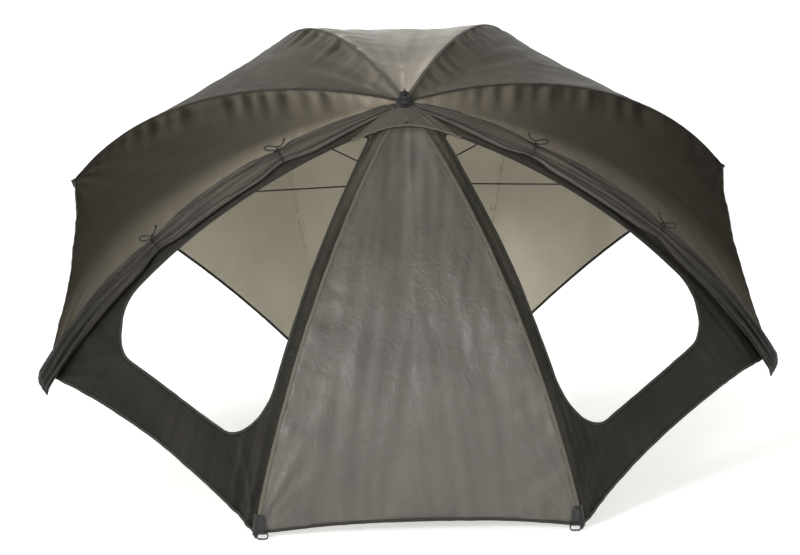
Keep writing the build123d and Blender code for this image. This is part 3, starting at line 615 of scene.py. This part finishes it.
for name, (azimuth, sag, _, kind) in GORES.items():
    hem_half = HEM_OUT * TAN_HALF - EDGE_GAP
    inner_half = INNER * TAN_HALF - EDGE_GAP
    ends = np.linspace(-1, 1, 60)
    hem = np.stack([HEM_OUT - sag * (1 - ends**2), ends * hem_half], axis=1)
    inner_edge = [(INNER, inner_half), (INNER, -inner_half)]
    outline = resampled(np.vstack([hem, inner_edge]), STEP, closed=True)
    hole = window_loop(azimuth > 0, STEP) if "window" in name else None
    flat, faces = filled(outline, hole, STEP)
    out, sideways = flat[:, 0], flat[:, 1]
    points, _ = canopy_point(azimuth, out, sideways, folds(name, out, sideways))
    piece = new_mesh(f"{name}_cloth", points, faces, LIT_CLOTH_COPIES[kind], flat, painted_light_and_shade(name, out, sideways))
    face = piece.data.polygons[len(piece.data.polygons) // 2]
    if Vector(face.normal).dot(Vector(AXIS)) < 0:
        piece.data.flip_normals()
    thicken(piece, CLOTH, INSIDE_LIT_COPIES[kind])
    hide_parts(name)
    gather(piece, name)
    # bound hem, and bound window edge
    trim = strip(f"{name}_binding", *under_tape(name, resampled(hem, 0.008)), *HEM_TAPE, BINDING)
    if hole is not None:
        line = window_loop(azimuth > 0, 0.008, -0.001)
        edge = strip("edge", *under_tape(name, line), *WINDOW_TAPE, BINDING, closed=True)
        trim = joined(f"{name}_binding", [trim, edge])
    gather(trim, name)


# ---- flat-felled seams over the ribs, and the sleeves that hold the ribs' ends ----
def rib_point(azimuth, angle, lift=0.0, sideways=0.0):
    """Points along a rib's seam by angle from the crown, with the outward normal."""
    angle = np.asarray(angle, float)
    normal = np.outer(np.sin(angle), around(azimuth)) + np.outer(np.cos(angle), AXIS)
    points = CROWN - AXIS * DOME + normal * (DOME + np.reshape(lift, (-1, 1)))
    return points + np.reshape(sideways, (-1, 1)) * around(azimuth + 90), normal


for name, azimuth in RIBS.items():
    angles = np.linspace(math.asin(0.032 / DOME), END_ANGLE - 0.009 / DOME, 220)
    seed = list(RIBS).index(name) + 40
    waver = noisy(columns(angles * 60), seed)
    wander = 0.0012 * noisy(columns(angles * 30), seed + 9)
    points, normals = rib_point(azimuth, angles, 0.0004 + 0.0005 * waver, wander)
    tape_material = WELT_PALE if name.startswith(("front", "rear")) else WELT
    welt = strip(f"seam_{name}", points, normals, 0.011 + 0.001 * waver, 0.0016, tape_material, bulge=0.9)
    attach(welt, f"rib_{name}")
    angles = np.linspace(END_ANGLE - 0.075 / DOME, END_ANGLE - 0.010 / DOME, 24)
    shares = np.linspace(0, 1, 24)
    points, normals = rib_point(azimuth, angles, -0.0005 + 0.0016 * np.sin(shares * math.pi))
    sleeve = strip(f"end_sleeve_{name}", points, normals, 0.030 - 0.012 * shares, 0.0036, WEB, bulge=0.5)
    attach(sleeve, f"rib_{name}")


# ---- rear wall and corner cloths ----
def hung(name, corners, azimuth, sag, seed):
    """A flat-cut cloth between corners, with soft billows and bound free edges. A sag curves its last edge in."""
    billow = 0.006
    corners = np.array(corners, float)
    x_dir = corners[1] - corners[0]
    x_dir /= np.linalg.norm(x_dir)
    normal = np.cross(corners[1] - corners[0], corners[2] - corners[1])
    normal /= np.linalg.norm(normal)
    y_dir = np.cross(normal, x_dir)
    local = np.stack([(corners - corners[0]) @ x_dir, (corners - corners[0]) @ y_dir], axis=1)
    centre = local.mean(0)
    edge = local[0] - local[-1]
    bow = centre - (local[0] + local[-1]) / 2
    bow -= edge * (bow @ edge) / (edge @ edge)
    bow /= np.linalg.norm(bow)
    shares = np.linspace(0, 1, 50)[1:-1]
    curved = [local[-1] + edge * t + bow * 4 * sag * t * (1 - t) for t in shares]
    outline = resampled(np.vstack([local] + ([curved] if sag else [])), WALL_STEP, closed=True)
    flat, faces = filled(outline, None, WALL_STEP)

    def stand_off(spots):
        rim = np.array([np.min(np.hypot(*(outline - p).T)) for p in spots])
        soft = np.clip(rim / 0.12, 0, 1)
        wave = billow * noisy(columns(spots[:, 0] * 2.1, spots[:, 1] * 2.1), seed)
        wave += 0.25 * billow * noisy(columns(spots[:, 0] * 9, spots[:, 1] * 4), seed + 1)
        ripple = 0.0016 * noisy(columns(spots[:, 0] * 28, spots[:, 1] * 28), seed + 2) * np.exp(-rim / 0.05)
        return wave * soft + ripple

    def lift_to(spots):
        return (corners[0] + np.outer(spots[:, 0], x_dir) + np.outer(spots[:, 1], y_dir)
                + np.outer(stand_off(spots), normal))

    points = lift_to(flat)
    piece = new_mesh(f"{name}_cloth", points, faces, WALL, flat)
    outward = Vector(around(azimuth))
    if Vector(piece.data.polygons[0].normal).dot(outward) < 0:
        piece.data.flip_normals()
    thicken(piece, CLOTH)
    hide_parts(name)
    free = np.vstack([local[-1:], curved, local[:1]]) if sag else local[1:3]
    sewn = [local[:2]] if sag else [local[[3, 0]], local[:2], local[2:]]

    def taped(line, tape_size, material):
        line = resampled(line, 0.010)
        return strip("tape", lift_to(line), np.tile(normal, (len(line), 1)), *tape_size, material)

    trims = [taped(free, HEM_TAPE, BINDING)]
    for line in sewn:
        drop = abs((line[1] - line[0]) @ [x_dir[2], y_dir[2]])
        under_rim = drop < 0.5 * np.linalg.norm(line[1] - line[0])
        trims.append(taped(line, WALL_TOP_SEAM, BINDING) if under_rim else taped(line, WALL_SEAM, WALL))
    trim = joined(f"{name}_binding", trims)
    for item in (piece, trim):
        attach(item, name)
        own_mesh(item)


UNDER_RIM = 0.006
CORNER_SAG = 0.055
rear_rim = CROWN + around(180) * RIM_OUT - AXIS * RISE
half_rim = RIM_OUT * TAN_HALF
wall_top = rear_rim[2] - UNDER_RIM
hung("wall_rear", [(-half_rim, rear_rim[1], wall_top), (-PEG_HALF, rear_rim[1], HEM_FOOT),
                   (PEG_HALF, rear_rim[1], HEM_FOOT), (half_rim, rear_rim[1], wall_top)],
     180, 0.0, 81)
for side_name, side in (("left", -1), ("right", 1)):
    rim_side = CROWN + around(side * REAR_CORNER) * RIM - AXIS * RISE - np.array([0, 0, UNDER_RIM])
    hung(f"wall_corner_{side_name}",
         [tuple(rim_side), (side * (half_rim + 0.001), rear_rim[1], wall_top),
          (side * (PEG_HALF + 0.001), rear_rim[1], HEM_FOOT)],
         side * 135, CORNER_SAG, 85 + side)


# ---- rolled window covers ----
ROLL_START = math.asin(0.036 / DOME)
ROLL_END = END_ANGLE + 0.030 / DOME
TIES = {"upper": math.asin(0.345 * RIM / DOME), "lower": math.asin(0.675 * RIM / DOME)}
TIE_REACH = 0.055  # how far along the roll a tie draws it in
CREASES = (0.20, 0.38, 0.56, 0.75)  # places round the roll, where 1 is the side under it
ROLL_RINGS, ROLL_ROUND = 210, 96


def roll_shape(angle):
    """The roll's half width, half thickness, and middle from the rib, and how tightly it is tied there."""
    tight = sum(math.exp(-(((angle - at) * DOME) / TIE_REACH) ** 2) for at in TIES.values())
    tight = min(tight, 1.0)
    along = (angle - ROLL_START) / (ROLL_END - ROLL_START)
    begun = max(0.0, 1 - along / 0.20) ** 1.3
    flare = max(0.0, (along - 0.80) / 0.20)
    half_width = (0.037 - 0.014 * tight) * (1 - begun) + 0.012 * begun
    half_width = half_width * (1 - flare) + 0.040 * flare
    half_thick = (0.0150 - 0.003 * tight) * (1 - begun) * (1 - flare) + 0.0025 * begun + 0.0055 * flare
    middle = (0.036 - 0.006 * tight) * (1 - begun) + 0.010 * begun
    middle = middle * (1 - flare) + 0.012 * flare
    return half_width, half_thick, middle, tight


for side_name, side in (("left", -1), ("right", 1)):
    azimuth = side * ROLLED_AT
    # sideways is measured from the rib towards the window, over the bend between the two panels
    window_side = -side * math.cos(HALF) * around(azimuth + 90)
    ring_angles = [ROLL_START + (ROLL_END - ROLL_START) * i / (ROLL_RINGS - 1) for i in range(ROLL_RINGS)]
    verts, uv, painted_shades = [], [], []
    for angle in ring_angles:
        half_width, half_thick, middle, tight = roll_shape(angle)
        length = angle * DOME
        sink = (max(0.0, angle - END_ANGLE) * DOME) * 0.25
        point, normal = rib_point(azimuth, [angle])
        for k in range(ROLL_ROUND):
            turn = 2 * math.pi * k / ROLL_ROUND
            cx, cy = math.cos(turn), math.sin(turn)
            bend = turn + 0.9 * noise.noise(Vector((length * 3.0, side * 7, 0)))
            deep = noise.noise(Vector((3.1 * math.cos(bend), 3.1 * math.sin(bend), length * 3.2 + side * 11)))
            mid = noise.noise(Vector((7.5 * math.cos(bend), 7.5 * math.sin(bend), length * 6.0 + side * 5)))
            small = noise.noise(Vector((15 * cx, 15 * cy, length * (14 + 30 * tight) + side * 3)))
            crease = 0.0
            for n, home in enumerate(CREASES):
                drift = 0.16 * noise.noise(Vector((length * 2.6, n * 5.3, side * 4)))
                strength = 0.55 + 0.45 * noise.noise(Vector((length * 3.4, n * 9.1, side * 8 + 3)))
                crease += strength * math.exp(-(((turn / math.pi - home - drift) * 14) ** 2))
            depth = 0.16 * deep - 0.14 * abs(mid) + 0.06 * small * (1 + 2 * tight) - 0.50 * min(crease, 1.2)
            size = 1.12 + depth
            x = middle - half_width * cx * min(size, 1.12)
            y = 0.0030 + half_thick + half_thick * cy * min(size, 1.30) - sink
            y = max(y, 0.0022 - sink)
            drop = -x * math.sin(HALF) * 0.30 if x > 0 else 0.0
            verts.append(point[0] + window_side * x + normal[0] * (y + drop))
            uv.append((turn * 0.035, length))
            # painted shade: the roll is painted darker towards its lower end and in its creases, and lighter and
            # darker along its folds
            tone = 1.0 - 1.4 * max(0.0, length / (END_ANGLE * DOME) - 0.32)
            painted_shades.append(0.92 * max(0.22, tone) * (1 - 0.72 * min(1.0, crease)) * (1 + 0.5 * mid))
    faces = tube_faces(ROLL_RINGS, ROLL_ROUND)
    roll = new_mesh(f"rolled_cover_{side_name}", verts, faces, COVER, uv, painted_shades)
    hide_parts(f"window_cover_{side_name}")
    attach(roll, f"rib_mid_front_{side_name}")
    # bound edges of the rolled cloth
    for edge_name, turn_at in (("inner", math.radians(20)), ("outer", math.radians(150))):
        line, normals = [], []
        for i in range(4, ROLL_RINGS - 2, 2):
            turn = turn_at + 0.25 * noise.noise(Vector((i * 0.03, side, 2)))
            k = int(round(turn / (2 * math.pi) * ROLL_ROUND)) % ROLL_ROUND
            line.append(verts[i * ROLL_ROUND + k])
            normals.append(rib_point(azimuth, [ring_angles[i]])[1][0])
        edge = strip(f"rolled_cover_{side_name}_{edge_name}_edge", line, normals, *ROLL_TAPE, BINDING)
        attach(edge, f"rib_mid_front_{side_name}")


# ---- hood: the covers' gathered tops, which meet over the front panel ----
def over_crown(sideways, ahead, lift):
    """A point above the canopy from its place across and ahead of the shaft."""
    azimuth = math.degrees(math.atan2(sideways, ahead))
    panel = 45 * round(azimuth / 45)
    spread = math.hypot(sideways, ahead)
    turn = math.radians(azimuth - panel)
    points, normals = canopy_point(panel, [spread * math.cos(turn)], [spread * math.sin(turn)], lift)
    return points[0], normals[0]


def hood_edge(share):
    """The hood's lower edge, from -1 at the left roll to 1 at the right, across and ahead of the shaft."""
    across = 0.165 * share
    return across, 0.119 + 0.036 * abs(share) ** 1.7 + 0.010 * abs(share)


HOOD_COLS, HOOD_ROWS = 121, 26
verts, uv = [], []
for face in (1, -1):
    for i in range(HOOD_COLS):
        share = -1 + 2 * i / (HOOD_COLS - 1)
        far = np.array(hood_edge(share))
        turn = math.radians(66) * share
        near = 0.031 * np.array([math.sin(turn), math.cos(turn)])
        for j in range(HOOD_ROWS):
            t = j / (HOOD_ROWS - 1)
            across, ahead = near + (far - near) * t
            fold = noise.noise(Vector((share * 7.5, t * 1.3, 4)))
            fold += 0.5 * noise.noise(Vector((share * 19, t * 2.0, 8)))
            swell = 0.0022 + 0.0085 * t**1.6 * (1 - 0.25 * abs(share))
            lift = swell + 0.0042 * fold * t
            if face < 0:
                lift = min(0.0012, lift - 0.0008)
            point, _ = over_crown(across, ahead, max(lift, 0.0010))
            verts.append(point)
            uv.append((across, ahead))
faces = []
half = HOOD_COLS * HOOD_ROWS
for i in range(HOOD_COLS - 1):
    for j in range(HOOD_ROWS - 1):
        a = i * HOOD_ROWS + j
        quad = (a, a + HOOD_ROWS, a + HOOD_ROWS + 1, a + 1)
        faces.append(quad)
        faces.append(tuple(half + v for v in quad[::-1]))
border = ([i * HOOD_ROWS for i in range(HOOD_COLS)]
          + [(HOOD_COLS - 1) * HOOD_ROWS + j for j in range(1, HOOD_ROWS)]
          + [i * HOOD_ROWS + HOOD_ROWS - 1 for i in range(HOOD_COLS - 2, -1, -1)]
          + [j for j in range(HOOD_ROWS - 2, 0, -1)])
for a, b in zip(border, border[1:] + border[:1]):
    faces.append((a, half + a, half + b, b))
hood = new_mesh("cover_hood", verts, faces, COVER, uv)
gather(hood, "gore_front")
line, normals = [], []
for i in range(HOOD_COLS):
    line.append(verts[i * HOOD_ROWS + HOOD_ROWS - 1])
    normals.append(over_crown(*hood_edge(-1 + 2 * i / (HOOD_COLS - 1)), 0.0)[1])
piping = strip("cover_hood_edge", line, normals, *PIPING, WELT_PALE, bulge=0.4, lift=-0.0005)
gather(piping, "gore_front")


def lathe(name, origin, axis, profile, material, segments=40):
    """A turned piece about an axis, from (radius, height) pairs."""
    axis = Vector(axis).normalized()
    turn = axis.to_track_quat("Z", "Y").to_matrix()
    verts, uv = [], []
    for radius, height in profile:
        for k in range(segments):
            angle = 2 * math.pi * k / segments
            spot = turn @ Vector((radius * math.cos(angle), radius * math.sin(angle), height))
            verts.append(tuple(Vector(origin) + spot))
            uv.append((k / segments, height))
    return new_mesh(name, verts, tube_faces(len(profile), segments), material, uv)


spot, normal = over_crown(0.003, 0.112, 0.0105)
profile = [(0.0001, -0.002), (0.0058, -0.002), (0.0066, 0.0), (0.0066, 0.0014), (0.0058, 0.0026),
           (0.0046, 0.0028), (0.0042, 0.0020), (0.0012, 0.0018), (0.0001, 0.0018)]
button = lathe("cover_hood_button", spot, normal, profile, PLASTIC)
gather(button, "gore_front")


# ---- cords that tie the rolls ----
CORD_THICK = 0.0046
KNOT_PROFILE = [(0.0001, -0.0045), (0.0022, -0.0042), (0.0036, -0.0022), (0.0030, -0.0004),
                (0.0036, 0.0012), (0.0026, 0.0034), (0.0001, 0.0040)]


def tie_points(side, angle):
    """The cord's route: out of the rib's seam, round the roll, and up into a bow with one loop and a tail."""
    half_width, half_thick, middle, _ = roll_shape(angle)
    point, normal = rib_point(side * ROLLED_AT, [angle])
    point, normal = point[0], normal[0]
    window_side = -side * math.cos(HALF) * around(side * ROLLED_AT + 90)
    along = np.cross(normal, window_side) * -side
    along /= np.linalg.norm(along)
    w, h, c = half_width + 0.0035, half_thick + 0.0035, 0.0035 + half_thick

    def at(x, y, z):
        """x in half widths from the roll's middle, y in half thicknesses above it, z along the rib."""
        return point + window_side * (middle + w * x) + normal * (c + h * y) + along * z

    def under(x, y, z):
        """The same, but y is in metres above the cloth."""
        return point + window_side * (middle + w * x) + normal * y + along * z

    return [
        under(-0.95, 0.0045, 0.0), at(-1.02, 0, 0.0), at(-0.75, 0.85, 0.001), at(0, 1.15, 0.002),
        at(0.75, 0.85, 0.003), at(1.1, 0, 0.004), under(0.8, 0.0060, 0.006), under(0, 0.0050, 0.008),
        under(-0.8, 0.0065, 0.009), at(-1.18, 0, 0.010), at(-0.85, 1.0, 0.009), at(-0.35, 1.28, 0.008),
        at(-0.10, 1.6, 0.002), at(-0.35, 1.75, -0.012), at(-0.9, 1.8, -0.026), at(-1.5, 1.75, -0.026),
        at(-1.45, 1.7, -0.012), at(-0.8, 1.95, 0.000), at(-0.2, 2.05, 0.008), at(-0.1, 2.0, 0.022),
        at(-0.55, 1.85, 0.034), at(-1.1, 1.7, 0.040),
    ]


def spline_length(curve):
    """The points of a curve's own line, and its length."""
    flat = curve.copy()
    flat.data = curve.data.copy()
    flat.data.bevel_depth = 0
    bpy.context.scene.collection.objects.link(flat)
    mesh = bpy.data.meshes.new_from_object(flat.evaluated_get(bpy.context.evaluated_depsgraph_get()))
    line = np.array([tuple(v.co) for v in mesh.vertices])
    bpy.data.objects.remove(flat)
    return line, float(np.linalg.norm(np.diff(line, axis=0), axis=1).sum())


for side_name, side in (("left", -1), ("right", 1)):
    for tie_name, angle in TIES.items():
        name = f"tie_{side_name}_{tie_name}"
        route = tie_points(side, angle)
        data = bpy.data.curves.new(name, "CURVE")
        data.dimensions = "3D"
        data.bevel_depth = CORD_THICK / 2
        data.bevel_resolution = 3
        data.resolution_u = 10
        spline = data.splines.new("NURBS")
        spline.points.add(len(route) - 1)
        for spot, control in zip(route, spline.points):
            control.co = (*spot, 1)
        spline.order_u = 3
        spline.use_endpoint_u = True
        cord = bpy.data.objects.new(name, data)
        bpy.context.scene.collection.objects.link(cord)
        data.materials.append(CORD)
        line, length = spline_length(cord)
        knot = lathe(f"{name}_knot", line[-1], line[-1] - line[-4], KNOT_PROFILE, CORD, 20)
        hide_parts(f"cover_tie_{side_name}_{tie_name}")
        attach(cord, f"rib_mid_front_{side_name}")
        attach(knot, f"rib_mid_front_{side_name}")


# ---- floor, light and camera ----
FLOOR_RADIUS, WALL_HEIGHT, BEND = 10.0, 9.0, 2.0


def backdrop():
    """A plain pale floor that curves up far all round the object."""
    bend = [(FLOOR_RADIUS + BEND * math.sin(a), BEND - BEND * math.cos(a))
            for a in np.linspace(0.1, math.pi / 2, 12)]
    profile = [(0.001, 0.0), (FLOOR_RADIUS, 0.0)] + bend + [(FLOOR_RADIUS + BEND, WALL_HEIGHT)]
    count = 96
    turns = [2 * math.pi * k / count for k in range(count)]
    verts = [(radius * math.cos(turn), radius * math.sin(turn), z - 0.0005)
             for radius, z in profile for turn in turns]
    faces = tube_faces(len(profile), count)[:-2]  # without the end caps
    material, _, bsdf = shader("pale_floor", (0.92, 0.92, 0.91), 0.85)
    bsdf.inputs["Emission Color"].default_value = (1, 1, 1, 1)
    bsdf.inputs["Emission Strength"].default_value = 0.42
    return new_mesh("floor", verts, faces, material)


backdrop()
world = bpy.data.worlds.new("studio")
bpy.context.scene.world = world
world.use_nodes = True
world.node_tree.nodes["Background"].inputs[0].default_value = (1, 1, 1, 1)
world.node_tree.nodes["Background"].inputs[1].default_value = 0.2


def area_light(name, spot, aim, size, power):
    """A soft rectangular light at a spot, turned to its aim."""
    data = bpy.data.lights.new(name, "AREA")
    data.shape = "RECTANGLE"
    data.size, data.size_y = size
    data.energy = power
    lamp = bpy.data.objects.new(name, data)
    lamp.location = spot
    lamp.rotation_euler = (Vector(aim) - Vector(spot)).to_track_quat("-Z", "Y").to_euler()
    bpy.context.scene.collection.objects.link(lamp)


area_light("overhead", (-1.4, 0.2, 4.2), (0, 0.3, 0.8), (3.0, 2.0), 30)
area_light("key", (-3.0, -5.6, 2.6), (0, -0.5, 0.6), (1.1, 1.1), 230)
area_light("fill", (4.4, -5.0, 1.8), (0, -0.5, 0.6), (2.4, 2.0), 45)
area_light("rear_light", (0.5, 4.6, 2.2), (0, 0.6, 0.8), (3.6, 2.2), 30)

# an adult's eye height, a little left of the middle
YAW, PITCH, ROLL = math.radians(1.447), math.radians(9.45), math.radians(-1.196)
look = Vector((math.sin(YAW) * math.cos(PITCH), math.cos(YAW) * math.cos(PITCH), -math.sin(PITCH)))
level = Vector((math.cos(YAW), -math.sin(YAW), 0))
upward = level.cross(look)
right = level * math.cos(ROLL) + upward * math.sin(ROLL)
upward = -level * math.sin(ROLL) + upward * math.cos(ROLL)
lens = bpy.data.cameras.new("photo_camera")
lens.sensor_width = 36.0
lens.lens = 83.68
camera = bpy.data.objects.new("photo_camera", lens)
turned = Matrix((right, upward, -look)).transposed().to_4x4()
camera.matrix_world = Matrix.Translation((-0.172, -6.1694, 1.625)) @ turned
bpy.context.scene.collection.objects.link(camera)
bpy.context.scene.camera = camera
bpy.context.scene.view_settings.view_transform = "Standard"
